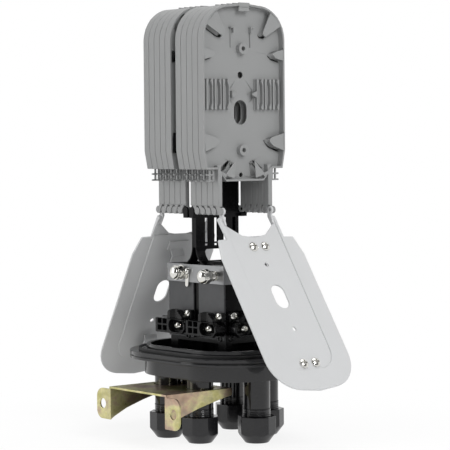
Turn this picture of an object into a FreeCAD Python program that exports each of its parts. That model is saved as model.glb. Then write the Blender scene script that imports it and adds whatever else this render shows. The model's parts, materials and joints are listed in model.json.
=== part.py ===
import FreeCAD, Part
import math
import os

os.makedirs("parts", exist_ok=True)
V = FreeCAD.Vector

# Frame: Z up, X across the trays, the front trays face -Y, zero at the plane of the gland nuts' ends.
# All sizes in millimetres, all angles in degrees.

# Trays
TRAYS_PER_SIDE = 5
PITCH = 8.8
TRAY_GAP = 0.4
TRAY_DEPTH = PITCH - TRAY_GAP
STACK_START = 4.0
TRAY_HALF = 52.0
TRAY_FLAT_TOP = 428.0
TRAY_SHOULDER = 268.0
TRAY_BOTTOM = 256.0
TRAY_CORNER_R = 34.0
RIM = 2.0
FLOOR = 1.6
TONGUE = 1.2
OVAL_W = 16.0
OVAL_H = 24.0
OVAL_Z = 323.3

# Hinge row under the trays
HINGE_Z = 227.0
PIN_BEHIND = 1.0
PIN_R = 1.6
PIN_CLEAR = 0.05
EYE_R = 3.7
ARM_IN = 29.5
ARM_OUT = 34.5
ARM_SPLIT = 32.0
ARM_BOTTOM = 231.5
SIDE_PLAY = 0.1

# Covers
FRONT_HANG = 34.0
REAR_HANG = 28.5
SHEET = 2.0
COVER_OFFSET = 3.0
COVER_HALF = 52.5
COVER_LENGTH = 199.0
PRESS = 1.2
SCREW_X = 7.5
SCREW_UP = 39.4
SCREW_DOWN = 169.5

# Frame of two pressed plates on the lower box
PLATE_HALF = 27.5
PLATE_FACE = 3.5
PLATE_T = 1.5
PLATE_TOP = 400.0
FLARE_Z = 190.0
FLARE_R = 17.0
BOX_X = 25.5
BOX_Y = 44.0
BOX_TOP = 173.0
BOX_WALL = 2.0
PANEL_T = 2.0
STRAP_LOW = 155.0
STRAP_T = 1.5
SLIT_HALF = 4.0

# Base
WELL_FLOOR = 66.0
BASE_UNDER = 62.0
FLANGE_LOW = 78.3
FLANGE_TOP = 85.8
COLLAR_TOP = 92.0
BASE_STRAIGHT = 25.0
SKIRT_R = 57.0
FLANGE_R = 72.0
COLLAR_R = 55.0
WELL_R = 51.0
SEAT_R = 60.0

# Ports and glands
PORTS = [(-42.0, -25.5), (0.0, -62.0), (42.0, -25.5), (42.0, 25.5), (0.0, 62.0), (-42.0, 25.5)]
NUT_TURN = [6.0, 19.0, 30.0, 12.0, 0.0, 38.0]
PORT_R = 13.2
PORT_BORE = 10.5
PORT_END = 11.0
THREAD_TOP = 34.0
THREAD_PITCH = 2.4
THREAD_DEEP = 0.8
NUT_FLATS = 35.0
NUT_H = 26.0
NUT_TAPER = 9.7
NUT_END_R = 11.5
NUT_CLEAR = 0.4
NUT_HOLE = 9.5
RING_HOLE = 10.2

# Wall bracket
BRACKET_X = 100.0
BRACKET_HALF = 46.0
BRACKET_TOP = 53.5
BRACKET_T = 2.0
EAR_Y = 67.0
EAR_HOLE_Y = 57.0
EAR_HOLE_Z = 35.8
EAR_HOLE_R = 5.0
BOSS_AT = [(-26.0, -12.0), (-26.0, 12.0)]

# Cable clamps
CLAMP_LOW = 104.0
CLAMP_HIGH = 118.5
CLAMP_DEEP = 14.5
CLAMP_W = 47.0


def block(x0, x1, y0, y1, z0, z1):
    """Box between two corners, given in any order."""
    low = V(min(x0, x1), min(y0, y1), min(z0, z1))
    return Part.makeBox(abs(x1 - x0), abs(y1 - y0), abs(z1 - z0), low)


def at(axis, p, q, level):
    """Point from two plane coordinates and its level along the axis across that plane."""
    if axis == "x":
        return V(level, p, q)
    if axis == "y":
        return V(p, level, q)
    return V(p, q, level)


def prism(points, axis, start, end):
    """Straight-sided outline pushed along an axis from start to end."""
    corners = [at(axis, p, q, start) for p, q in points]
    face = Part.Face(Part.makePolygon(corners + corners[:1]))
    return face.extrude(at(axis, 0, 0, end - start))


def curved(first, steps, axis, start, end):
    """Outline of lines (end,) and arcs (middle, end), pushed along an axis from start to end."""
    edges = []
    here = at(axis, first[0], first[1], start)
    for step in steps:
        there = at(axis, step[-1][0], step[-1][1], start)
        if len(step) == 1:
            edges.append(Part.LineSegment(here, there).toShape())
        else:
            middle = at(axis, step[0][0], step[0][1], start)
            edges.append(Part.Arc(here, middle, there).toShape())
        here = there
    return Part.Face(Part.Wire(edges)).extrude(at(axis, 0, 0, end - start))


def rod(axis, p, q, start, end, radius):
    """Round bar along an axis."""
    low = min(start, end)
    return Part.makeCylinder(radius, abs(end - start), at(axis, p, q, low), at(axis, 0, 0, 1))


def cone(x, y, z0, z1, r0, r1):
    """Upright cone or taper."""
    return Part.makeCone(r0, r1, z1 - z0, V(x, y, z0), V(0, 0, 1))


def stadium(radius, z0, z1):
    """Oval plate: straight sides along Y and round ends, as the whole base is in plan."""
    s = BASE_STRAIGHT
    steps = [((radius, s),), ((0, s + radius), (-radius, s)), ((-radius, -s),),
             ((0, -s - radius), (radius, -s))]
    return curved((radius, -s), steps, "z", z0, z1)


def oblong(axis, p, q, width, height, start, end):
    """Slot-shaped bar: a round-ended slot standing upright in its plane."""
    r = width / 2.0
    h = height / 2.0 - r
    steps = [((p + r, q + h),), ((p, q + h + r), (p - r, q + h)), ((p - r, q - h),),
             ((p, q - h - r), (p + r, q - h))]
    return curved((p + r, q - h), steps, axis, start, end)


def join(shapes):
    """One solid out of touching or overlapping ones."""
    return shapes[0].multiFuse(shapes[1:]).removeSplitter()


def both_sides(points):
    """Outline and its mirror image across X."""
    return [points, [(-p, q) for p, q in points]]


def to_rear(shape):
    """The rear group is the front group turned half a turn about the upright axis."""
    turned = shape.copy()
    turned.rotate(V(0, 0, 0), V(0, 0, 1), 180)
    return turned


def save(name, shape):
    """Write one piece."""
    shape.exportStep("parts/" + name + ".step")


def save_group(name, solids):
    """Write several equal pieces as separate solids of one node."""
    save(name, Part.makeCompound(solids))


def pan(inset, start, end):
    """Tray face outline, drawn in by the inset, between two depths."""
    w = TRAY_HALF - inset
    r = TRAY_CORNER_R - inset
    cx = TRAY_HALF - TRAY_CORNER_R
    cz = TRAY_FLAT_TOP - TRAY_CORNER_R
    k = r * math.sqrt(0.5)
    top = TRAY_FLAT_TOP - inset
    low = TRAY_BOTTOM + inset
    shoulder = TRAY_SHOULDER + inset
    right = [(24.0, low), (34.0, shoulder), (48.5 - 0.8 * inset, shoulder), (w, 286.0)]
    steps = [(p,) for p in right[1:]]
    steps += [((w, cz),), ((cx + k, cz + k), (cx, top)), ((0, top + 1.3), (-cx, top))]
    steps += [((-cx - k, cz + k), (-w, cz))]
    steps += [((-p, q),) for p, q in reversed(right)]
    steps += [(right[0],)]
    return curved(right[0], steps, "y", start, end)


TONGUES = [
    [(47.6, 409.7), (39.5, 419.7), (25.5, 399.5), (27.5, 397.0)],
    [(51.0, 388.0), (36.0, 383.0), (36.0, 380.5), (51.0, 374.0)],
    [(51.0, 305.0), (27.0, 296.0), (27.0, 293.5), (51.0, 285.0)],
    [(32.0, 267.5), (18.2, 277.0), (11.2, 278.8), (25.0, 259.5)],
]
CORES = [
    [(40.5, 412.5), (27.5, 401.0), (29.0, 399.0), (42.5, 410.0)],
    [(48.5, 384.5), (38.0, 382.4), (38.0, 381.1), (48.5, 377.5)],
    [(48.5, 300.5), (29.5, 295.6), (29.5, 293.9), (48.5, 289.5)],
    [(27.5, 268.0), (18.0, 275.5), (13.5, 276.5), (23.5, 264.0)],
]
HOOK = [(10.5, 401.0), (11.7, 401.0), (11.7, 405.8), (15.0, 405.8), (15.0, 407.0), (10.5, 407.0)]


def comb(side):
    """Small ladder under a tray shoulder that guides the fibres to the next tray."""
    parts = [block(side * 36.4, side * 38.4, -5.2, -3.2, 256.0, 270.0)]
    parts.append(block(side * 41.0, side * 42.6, -5.2, -3.2, 256.0, 270.0))
    for z in (256.0, 262.0):
        parts.append(block(side * 36.4, side * 45.8, -5.2, -3.2, z, z + 1.6))
    return parts


def arm(side):
    """Leg of a tray, closed and flat on both faces, with a small chamfer at its foot."""
    points = [(ARM_IN, ARM_BOTTOM), (33.2, ARM_BOTTOM), (ARM_OUT, ARM_BOTTOM + 1.3),
              (ARM_OUT, TRAY_SHOULDER + 4), (ARM_IN, TRAY_SHOULDER + 4)]
    return prism([(side * p, q) for p, q in points], "y", -TRAY_DEPTH, 0)


def eye(side, lift):
    """Rear half of a leg's foot: the eye that turns on the neighbour's pin, with its web."""
    x0 = side * ARM_IN
    x1 = side * (ARM_SPLIT - SIDE_PLAY)
    y = -PIN_BEHIND
    shape = rod("x", y, HINGE_Z, x0, x1, EYE_R)
    if lift:
        web = [(0, ARM_BOTTOM + 1), (-6.5, ARM_BOTTOM + 1), (-4.4, HINGE_Z + 1.0),
               (y, HINGE_Z), (0, HINGE_Z + 3.5)]
        shape = shape.fuse(prism(web, "x", x0, x1))
    return shape


def lug(side):
    """Front half of a leg's foot: the curved link that carries the pin for the next tray."""
    x0 = side * (ARM_SPLIT + SIDE_PLAY)
    x1 = side * ARM_OUT
    y = -PIN_BEHIND - PITCH
    link = [(-3.0, ARM_BOTTOM + 1.0), (-TRAY_DEPTH, ARM_BOTTOM + 1.0), (-TRAY_DEPTH, HINGE_Z + 2.4),
            (y, HINGE_Z), (y + 1.3, HINGE_Z - 3.4)]
    return [prism(link, "x", x0, x1), rod("x", y, HINGE_Z, x0, x1, EYE_R)]


def pin(side, y):
    """Stub pin that points inward from a lug."""
    return rod("x", y, HINGE_Z, side * (ARM_IN + 0.1), side * (ARM_SPLIT + SIDE_PLAY), PIN_R)


def pin_hole(side, y):
    """Bore in an eye for the neighbour's pin."""
    return rod("x", y, HINGE_Z, side * (ARM_IN - 1), side * ARM_SPLIT, PIN_R + PIN_CLEAR)


def tray():
    """Splice tray with its back face at Y 0, opening toward -Y."""
    shell = pan(0, -TRAY_DEPTH, 0).cut(pan(RIM, -TRAY_DEPTH - 1, -FLOOR))
    added = []
    cut_out = [oblong("y", 0, OVAL_Z, OVAL_W, OVAL_H, -TRAY_DEPTH, 1)]
    for z in (385.7, 286.3):
        added.append(rod("y", 0, z, -TRAY_DEPTH + 1.4, -FLOOR + 0.5, 5.5))
        cut_out.append(rod("y", 0, z, -TRAY_DEPTH - 1, 1, 2.2))
    for z, radius in ((360.0, 3.2), (262.0, 2.2)):
        cut_out.append(rod("y", 0, z, -FLOOR - 1, 1, radius))
    for points in TONGUES:
        for outline in both_sides(points):
            added.append(prism(outline, "y", -TRAY_DEPTH, -TRAY_DEPTH + TONGUE))
    for points in CORES:
        for outline in both_sides(points):
            cut_out.append(prism(outline, "y", -FLOOR - 0.5, 1))
    for outline in both_sides(HOOK):
        added.append(prism(outline, "y", -6.0, -FLOOR + 0.4))
    added.append(block(-6.6, 6.6, -TRAY_DEPTH, -TRAY_DEPTH + TONGUE, 421.5, 430.5))
    for side in (-1, 1):
        added.append(arm(side))
        added += comb(side)
        added.append(eye(side, True))
        added += lug(side)
        added.append(pin(side, -PIN_BEHIND - PITCH))
        cut_out.append(pin_hole(side, -PIN_BEHIND))
    return join([shell] + added).cut(Part.makeCompound(cut_out))


def holders():
    """Two ribbed splice holders, each with three grooves, that lie on the tray floor."""
    solids = []
    for side in (-1, 1):
        parts = [block(side * 13.0, side * 47.0, -FLOOR - 0.9, -FLOOR, 326.0, 356.0)]
        for i in range(4):
            x = side * (13.0 + 32.8 * i / 3.0)
            parts.append(block(x, x + side * 1.2, -FLOOR - 5.0, -FLOOR - 0.5, 326.0, 356.0))
        solids.append(join(parts))
    return solids


def cover():
    """Cover sheet as it is when shut: hinge at the origin, sheet on the -Y side, length along Z."""
    near = -COVER_OFFSET
    far = near - SHEET
    w = COVER_HALF
    end = COVER_LENGTH
    right = [(29.5, 14.0), (29.5, 5.0), (36.0, 5.0), (36.0, 29.5), (43.0, 30.5)]
    steps = [(p,) for p in right[1:]]
    steps += [((49.5, 35.5), (w, 47.0)), ((w, end - 33),)]
    steps += [((43.6, end - 11.5), (22.0, end - 2.0)), ((0, end), (-22.0, end - 2.0))]
    steps += [((-43.6, end - 11.5), (-w, end - 33)), ((-w, 47.0),), ((-49.5, 35.5), (-43.0, 30.5))]
    steps += [((-p, q),) for p, q in reversed(right[:-1])]
    steps += [((0, 28.5), right[0])]
    shape = curved(right[0], steps, "y", far, near)
    shape = shape.fuse(cover_field(33.0, far - PRESS, far + 0.2))
    cut_out = [cover_field(31.0, near - PRESS, near + 1)]
    cut_out.append(oblong("y", 0, 93.5, 12.0, 29.0, far - 5, near + 5))
    for z in (57.9, 129.3):
        cut_out.append(rod("y", 0, z, far - 5, near + 5, 2.2))
    added = []
    for side in (-1, 1):
        eye_shape = eye(side, False)
        eye_shape.translate(V(0, PIN_BEHIND, -HINGE_Z))
        added.append(eye_shape)
        web = [(far, 12.0), (far, 1.0), (-3.0, -2.0), (0, 0), (-1.0, 3.5), (near, 12.0)]
        added.append(prism(web, "x", side * ARM_IN, side * (ARM_SPLIT - SIDE_PLAY)))
        hole = pin_hole(side, 0)
        hole.translate(V(0, 0, -HINGE_Z))
        cut_out.append(hole)
    return join([shape] + added).cut(Part.makeCompound(cut_out))


def cover_field(half, start, end):
    """Pressed field along the middle of a cover, round at its far end."""
    z0 = 34.0
    z1 = 148.0 + half * 0.1
    steps = [((half, z1),), ((0, z1 + half), (-half, z1)), ((-half, z0),), ((half, z0),)]
    return curved((half, z0), steps, "y", start, end)


def cover_clips():
    """Two raised loop clips on the outer face of a cover, each on a foot held by two screws."""
    base = -COVER_OFFSET - SHEET - PRESS
    solids = []
    for z, way in ((SCREW_UP, 1), (SCREW_DOWN, -1)):
        foot = block(-12.0, 12.0, base - 1.5, base, z - 5.0, z + 5.0)
        profile = [(base, z + way * 4.0), (base - 1.5, z + way * 4.0), (base - 7.5, z + way * 9.0),
                   (base - 7.5, z + way * 20.0), (base - 5.0, z + way * 24.0), (base - 3.6, z + way * 23.0),
                   (base - 6.0, z + way * 19.3), (base - 6.0, z + way * 9.6), (base, z + way * 5.0)]
        solids.append(join([foot, prism(profile, "x", -8.0, 8.0)]))
    return solids


def cover_screws():
    """Round-headed screws whose heads sit in the pressed field, on the side that faces the tray."""
    solids = []
    top = -COVER_OFFSET - PRESS
    for z in (SCREW_UP, SCREW_DOWN):
        for x in (-SCREW_X, SCREW_X):
            solids.append(rod("y", x, z, top, top + 2.2, 3.5))
    return solids


def hang(shape, angle):
    """Swing a shut front cover, or what rides on it, to its hanging place."""
    moved = shape.copy()
    moved.rotate(V(0, 0, 0), V(1, 0, 0), 180.0 - angle)
    moved.translate(V(0, -STACK_START - PIN_BEHIND - PITCH * TRAYS_PER_SIDE, HINGE_Z))
    return moved


def frame_plate():
    """Front half of the frame: a pressed plate whose foot flares out onto the lower box."""
    face = -PLATE_FACE
    cy = face - FLARE_R
    profile = [(face, PLATE_TOP), (face, FLARE_Z)]
    inner = [(face + PLATE_T, PLATE_TOP), (face + PLATE_T, FLARE_Z)]
    for i in range(1, 7):
        a = math.radians(13.0 * i)
        profile.append((cy + FLARE_R * math.cos(a), FLARE_Z - FLARE_R * math.sin(a)))
        wide = FLARE_R + PLATE_T
        inner.append((cy + wide * math.cos(a), FLARE_Z - wide * math.sin(a)))
    sheet = prism(profile + inner[::-1], "x", -PLATE_HALF, PLATE_HALF)
    sheet = sheet.common(block(-60, 60, -60, 0, BOX_TOP, PLATE_TOP))
    parts = [sheet]
    for side in (-1, 1):
        parts.append(block(side * PLATE_HALF, side * (PLATE_HALF - PLATE_T), face, 0, FLARE_Z, PLATE_TOP))
        for z0, z1 in ((284.0, 304.0), (374.0, 381.0)):
            parts.append(block(side * 20.0, side * 49.5, face, face + PLATE_T, z0, z1))
        parts += frame_ear(side)
    cut_out = []
    for i in range(4):
        x = -14.4 + 11.9 * i
        cut_out.append(block(x - 2.0, x + 2.0, -6, -1, 194.8, 219.0))
        cut_out.append(block(x - 2.0, x + 2.0, -6, -1, 191.2, 193.4))
    cut_out.append(oblong("y", 0, OVAL_Z, OVAL_W, OVAL_H, -6, 0))
    window = [(-16.5, 175.5), (16.5, 175.5), (16.5, 186.0), (14.5, 188.0), (-14.5, 188.0), (-16.5, 186.0)]
    cut_out.append(prism(window, "y", -30, -1))
    return join(parts).cut(Part.makeCompound(cut_out))


def frame_ear(side):
    """Ear at the side of the frame that carries the pin of the innermost tray."""
    y = -STACK_START - PIN_BEHIND
    low = HINGE_Z - EYE_R - 3.7
    high = HINGE_Z - EYE_R - 0.4
    x0 = side * (ARM_SPLIT + SIDE_PLAY)
    x1 = side * ARM_OUT
    bar = block(side * (PLATE_HALF - 0.5), x1, y - 3.0, -1.5, low, high)
    link = [(y - 3.0, low), (y + 3.5, low), (y + EYE_R, HINGE_Z), (y - EYE_R, HINGE_Z)]
    return [bar, prism(link, "x", x0, x1), rod("x", y, HINGE_Z, x0, x1, EYE_R), pin(side, y)]


def lower_box():
    """Box under the frame: open at the bottom into the well, with a deck that has a cable opening."""
    core = block(-BOX_X + PANEL_T, BOX_X - PANEL_T, -BOX_Y, BOX_Y, WELL_FLOOR, STRAP_LOW)
    head = block(-BOX_X, BOX_X, -BOX_Y, BOX_Y, STRAP_LOW, BOX_TOP)
    shape = join([core, head])
    inner = BOX_X - PANEL_T - BOX_WALL
    shape = shape.cut(block(-inner, inner, -BOX_Y + BOX_WALL, BOX_Y - BOX_WALL, 60, BOX_TOP - BOX_WALL))
    cut_out = [block(-18, 18, -11, 11, 165, 180)]
    for y in (-1, 1):
        cut_out.append(block(-18, 18, y * 21, y * 38, 165, 180))
        cut_out.append(block(-16, 16, y * 30, y * 60, 70, 96))
    for x in (-1, 1):
        cut_out.append(block(x * 15, x * 40, -32, 32, 70, 96))
    return shape.cut(Part.makeCompound(cut_out))


def side_panels():
    """Four dark panels on the long faces of the lower box, two each side of a slit."""
    solids = []
    for x in (-1, 1):
        for y in (-1, 1):
            solids.append(block(x * (BOX_X - PANEL_T), x * BOX_X, y * SLIT_HALF, y * BOX_Y, 100.0, STRAP_LOW))
    return solids


def strap():
    """Bright metal band around the head of the lower box, bent round at the corners."""
    t = STRAP_T
    outer = block(-BOX_X - t, BOX_X + t, -BOX_Y - t, BOX_Y + t, STRAP_LOW, BOX_TOP)
    upright = [e for e in outer.Edges if abs(e.BoundBox.ZLength - (BOX_TOP - STRAP_LOW)) < 1e-6]
    outer = outer.makeFillet(t * 0.9, upright)
    return outer.cut(block(-BOX_X, BOX_X, -BOX_Y, BOX_Y, STRAP_LOW - 1, BOX_TOP + 1))


def hexagon(y, z, flats, x0, x1):
    """Hexagon bar along X."""
    r = flats / math.sqrt(3.0)
    points = [(y + r * math.cos(math.radians(60 * i)), z + r * math.sin(math.radians(60 * i))) for i in range(6)]
    return prism(points, "x", x0, x1)


def earth_studs():
    """Two earth studs on the strap: shank, washers, nut and head, each turned as one piece."""
    wall = -BOX_X - STRAP_T
    first = [rod("x", 21.0, 164.5, wall - 12, wall, 2.6), rod("x", 21.0, 164.5, wall - 2, wall, 5.0),
             hexagon(21.0, 164.5, 8.5, wall - 16, wall - 11)]
    second = [rod("x", -35.0, 163.5, wall - 19, wall, 3.0), rod("x", -35.0, 163.5, wall - 1.6, wall, 7.5),
              rod("x", -35.0, 163.5, wall - 5.2, wall - 3.2, 6.8), hexagon(-35.0, 163.5, 10.0, wall - 9.5, wall - 5.2),
              rod("x", -35.0, 163.5, wall - 20, wall - 14, 6.0)]
    return [join(first), join(second)]


def strap_fasteners():
    """Small screws that close the strap, and the tab that hangs under the middle one."""
    wall = -BOX_X - STRAP_T
    tab = block(wall - 1.2, wall, 7.0, 14.5, 149.5, 170.0)
    solids = [tab, rod("x", 10.7, 165.6, wall - 4.0, wall - 1.2, 3.2)]
    solids.append(rod("x", -18.5, 160.0, wall - 2.4, wall, 2.6))
    for x in (-12.0, 12.0):
        solids.append(rod("y", x, 164.0, -BOX_Y - STRAP_T - 2.6, -BOX_Y - STRAP_T, 3.2))
        solids.append(rod("y", x, 164.0, BOX_Y + STRAP_T, BOX_Y + STRAP_T + 2.6, 3.2))
    solids.append(rod("x", 20.0, 164.0, -wall, -wall + 2.6, 3.2))
    solids.append(rod("x", -20.0, 164.0, -wall, -wall + 2.6, 3.2))
    return solids


def turned(shape, quarter, shift):
    """Move a clamp piece, built against X 0 and facing -X, to its side of the box."""
    moved = shape.copy()
    moved.translate(shift)
    moved.rotate(V(0, 0, 0), V(0, 0, 1), quarter)
    return moved


def clamp_places():
    """Places of the six clamps: two on each long face, one on each short face."""
    places = []
    for quarter in (0, 180):
        for y in (1.2, -CLAMP_W - 1.2):
            places.append((quarter, V(-BOX_X, y, 0)))
    for quarter in (90, 270):
        places.append((quarter, V(-BOX_Y, -CLAMP_W / 2.0, 0)))
    return places


def clamp_body():
    """Clamp block against X 0, from Y 0 to its width: four square pockets and a round recess."""
    body = block(-CLAMP_DEEP, 0, 0, CLAMP_W, CLAMP_LOW, CLAMP_HIGH)
    cut_out = [rod("x", 15.0, 111.0, -CLAMP_DEEP - 1, -CLAMP_DEEP + 3.0, 6.2)]
    for y in (28.5, 37.5):
        for z in (105.6, 111.8):
            cut_out.append(block(-CLAMP_DEEP - 1, -CLAMP_DEEP + 7.0, y, y + 7.0, z, z + 4.8))
    for y in (0.0, 30.0):
        body = body.fuse(block(-CLAMP_DEEP + 2, -CLAMP_DEEP + 5.0, y, y + 4.0, CLAMP_LOW - 4.0, CLAMP_LOW))
    return body.cut(Part.makeCompound(cut_out))


def clamp_jaw():
    """Saddle on top of a clamp block, with an upright hollow for the cable on its outer side."""
    jaw = block(-CLAMP_DEEP, -1.0, 2.0, 34.0, CLAMP_HIGH, CLAMP_HIGH + 9.5)
    return jaw.cut(rod("z", -CLAMP_DEEP - 2.5, 18.0, CLAMP_HIGH - 1, CLAMP_HIGH + 12, 9.0))


def clamp_screws():
    """Screws of one clamp: a large one in the recess and two small ones on the saddle."""
    solids = [rod("x", 15.0, 111.0, -CLAMP_DEEP - 0.6, -CLAMP_DEEP + 3.0, 4.2)]
    for y in (5.0, 31.0):
        solids.append(rod("z", -6.0, y, CLAMP_HIGH + 9.5, CLAMP_HIGH + 12.0, 2.8))
    return solids


def port(x, y):
    """Threaded cable port under the base."""
    parts = [rod("z", x, y, PORT_END, BASE_UNDER + 1, PORT_R)]
    shape = join(parts)
    grooves = []
    for i in range(4):
        z = THREAD_TOP - 1.0 - THREAD_PITCH * i
        ring = rod("z", x, y, z - 0.6, z + 0.6, PORT_R + 1).cut(rod("z", x, y, z - 1, z + 1, PORT_R - THREAD_DEEP))
        grooves.append(ring)
    return shape.cut(Part.makeCompound(grooves))


def base():
    """Oval base: skirt, grooved flange, collar, open well, six ports and two bracket bosses."""
    parts = [stadium(SKIRT_R, BASE_UNDER, FLANGE_LOW + 1)]
    groove = FLANGE_LOW + 2.7
    parts.append(stadium(FLANGE_R, FLANGE_LOW, groove))
    parts.append(stadium(FLANGE_R - 1.7, groove, groove + 1.3))
    parts.append(stadium(FLANGE_R, groove + 1.3, FLANGE_TOP))
    parts.append(stadium(SEAT_R, FLANGE_TOP, FLANGE_TOP + 1.7))
    parts.append(stadium(COLLAR_R, FLANGE_TOP, COLLAR_TOP))
    shape = join(parts).cut(stadium(WELL_R, WELL_FLOOR, COLLAR_TOP + 1))
    added = [port(x, y) for x, y in PORTS]
    added += [rod("z", x, y, BRACKET_TOP, BASE_UNDER + 1, 6.5) for x, y in BOSS_AT]
    shape = join([shape] + added)
    bores = [rod("z", x, y, 0, WELL_FLOOR + 1, PORT_BORE) for x, y in PORTS]
    bores += [rod("z", x, y, BRACKET_TOP - 1, BASE_UNDER, 3.2) for x, y in BOSS_AT]
    return shape.cut(Part.makeCompound(bores))


def seal():
    """Rubber ring on the flange, around the seat of the dome."""
    ring = stadium(SEAT_R + 3.0, FLANGE_TOP, FLANGE_TOP + 2.6)
    return ring.cut(stadium(SEAT_R + 0.4, FLANGE_TOP - 1, FLANGE_TOP + 4))


def gland_nut(x, y, turn):
    """Eight-sided gland nut, tapered at its end, with a wide thread bore and a smaller cable hole."""
    r = NUT_FLATS / 2.0 / math.cos(math.radians(22.5))
    points = [(x + r * math.cos(math.radians(turn + 22.5 + 45 * i)),
               y + r * math.sin(math.radians(turn + 22.5 + 45 * i))) for i in range(8)]
    body = prism(points, "z", 0, NUT_H)
    flare = cone(x, y, 0, NUT_TAPER, NUT_END_R, r)
    upper = rod("z", x, y, NUT_TAPER, NUT_H, r + 1)
    body = body.common(flare.fuse(upper))
    body = body.cut(rod("z", x, y, 4.0, NUT_H + 1, PORT_R + NUT_CLEAR))
    return body.cut(rod("z", x, y, -1, 5.0, NUT_HOLE))


def gland_seals():
    """Rubber blanking seals: a washer under each port's end and a plug in its bore."""
    solids = []
    for x, y in PORTS:
        washer = rod("z", x, y, 7.1, PORT_END, PORT_R - 0.8)
        solids.append(washer.fuse(rod("z", x, y, PORT_END, 26.0, PORT_BORE - 0.3)).removeSplitter())
    return solids


def pressure_rings():
    """Hard rings between each nut's shoulder and its seal."""
    solids = []
    for x, y in PORTS:
        solids.append(rod("z", x, y, 4.3, 7.1, PORT_R - 0.4).cut(rod("z", x, y, 4, 8, RING_HOLE)))
    return solids


def bracket():
    """Wall bracket of sheet: plate around two ports, tapered cheeks and outward ears with round holes."""
    x0 = -BRACKET_X
    low = BRACKET_TOP - BRACKET_T
    plate = block(x0, -18.0, -BRACKET_HALF, BRACKET_HALF, low, BRACKET_TOP)
    parts = [plate]
    cheek = [(x0, BRACKET_TOP), (-18.0, BRACKET_TOP), (-18.0, 46.5), (-41.0, 41.5), (-60.0, 36.8),
             (-80.0, 30.5), (-94.0, 24.0), (x0, 20.5)]
    for side in (-1, 1):
        parts.append(prism(cheek, "y", side * (BRACKET_HALF - BRACKET_T), side * BRACKET_HALF))
        parts.append(bracket_ear(side))
    cut_out = [rod("z", x, y, low - 1, BRACKET_TOP + 1, PORT_R + 1.0) for x, y in PORTS if x < -10]
    cut_out += [rod("z", x, y, low - 1, BRACKET_TOP + 1, 3.3) for x, y in BOSS_AT]
    cut_out += [rod("x", s * EAR_HOLE_Y, EAR_HOLE_Z, x0 - 1, x0 + 4, EAR_HOLE_R) for s in (-1, 1)]
    return join(parts).cut(Part.makeCompound(cut_out))


def bracket_ear(side):
    """Ear turned outward at the bracket's end, round at its two outer corners."""
    r = 9.0
    k = r * (1 - math.sqrt(0.5))
    y0 = side * (BRACKET_HALF - 1)
    y1 = side * EAR_Y
    z0 = 20.5
    z1 = 51.0
    steps = [((side * (EAR_Y - r), z0),), ((side * (EAR_Y - k), z0 + k), (y1, z0 + r)), ((y1, z1 - r),),
             ((side * (EAR_Y - k), z1 - k), (side * (EAR_Y - r), z1)), ((y0, z1),), ((y0, z0),)]
    return curved((y0, z0), steps, "x", -BRACKET_X, -BRACKET_X + BRACKET_T)


def bracket_bolts():
    """Two hexagon bolts with washers that hold the bracket to the base."""
    solids = []
    low = BRACKET_TOP - BRACKET_T
    for x, y in BOSS_AT:
        r = 5.0 / math.cos(math.radians(30))
        head = prism([(x + r * math.cos(math.radians(60 * i)), y + r * math.sin(math.radians(60 * i)))
                      for i in range(6)], "z", low - 5.4, low - 1.2)
        parts = [head, rod("z", x, y, low - 1.2, low, 6.2), rod("z", x, y, low, BASE_UNDER - 1, 3.0)]
        solids.append(join(parts))
    return solids


def build_trays():
    """Ten trays with their splice holders."""
    one = tray()
    inserts = holders()
    for i in range(TRAYS_PER_SIDE):
        step = V(0, -STACK_START - PITCH * i, 0)
        piece = one.copy()
        piece.translate(step)
        placed = [s.copy() for s in inserts]
        for s in placed:
            s.translate(step)
        number = str(i + 1)
        save("tray_front_" + number, piece)
        save_group("holders_front_" + number, placed)
        save("tray_rear_" + number, to_rear(piece))
        save_group("holders_rear_" + number, [to_rear(s) for s in placed])


def build_covers():
    """Front and rear cover with clips and screws."""
    sheet = cover()
    clips = cover_clips()
    screws = cover_screws()
    save("cover_front", hang(sheet, FRONT_HANG))
    save_group("clips_front", [hang(s, FRONT_HANG) for s in clips])
    save_group("cover_screws_front", [hang(s, FRONT_HANG) for s in screws])
    save("cover_rear", to_rear(hang(sheet, REAR_HANG)))
    save_group("clips_rear", [to_rear(hang(s, REAR_HANG)) for s in clips])
    save_group("cover_screws_rear", [to_rear(hang(s, REAR_HANG)) for s in screws])


def build_frame():
    """Frame plates, lower box and what is fixed to it."""
    plate = frame_plate()
    save("frame_plate_front", plate)
    save("frame_plate_rear", to_rear(plate))
    save("lower_box", lower_box())
    save_group("side_panels", side_panels())
    save("strap", strap())
    save_group("earth_studs", earth_studs())
    save_group("strap_fasteners", strap_fasteners())
    places = clamp_places()
    save_group("clamp_bodies", [turned(clamp_body(), q, s) for q, s in places])
    save_group("clamp_jaws", [turned(clamp_jaw(), q, s) for q, s in places])
    screws = clamp_screws()
    save_group("clamp_screws", [turned(item, q, s) for q, s in places for item in screws])


def build_base():
    """Base, seal, glands and bracket."""
    save("base", base())
    save("dome_seal", seal())
    for i in range(len(PORTS)):
        save("gland_nut_" + str(i + 1), gland_nut(PORTS[i][0], PORTS[i][1], NUT_TURN[i]))
    save_group("gland_seals", gland_seals())
    save_group("pressure_rings", pressure_rings())
    save("wall_bracket", bracket())
    save_group("bracket_bolts", bracket_bolts())


build_base()
build_frame()
build_trays()
build_covers()
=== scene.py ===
import json
import math

import bmesh
import bpy
from mathutils import Matrix, Vector
from mathutils.bvhtree import BVHTree

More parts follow.
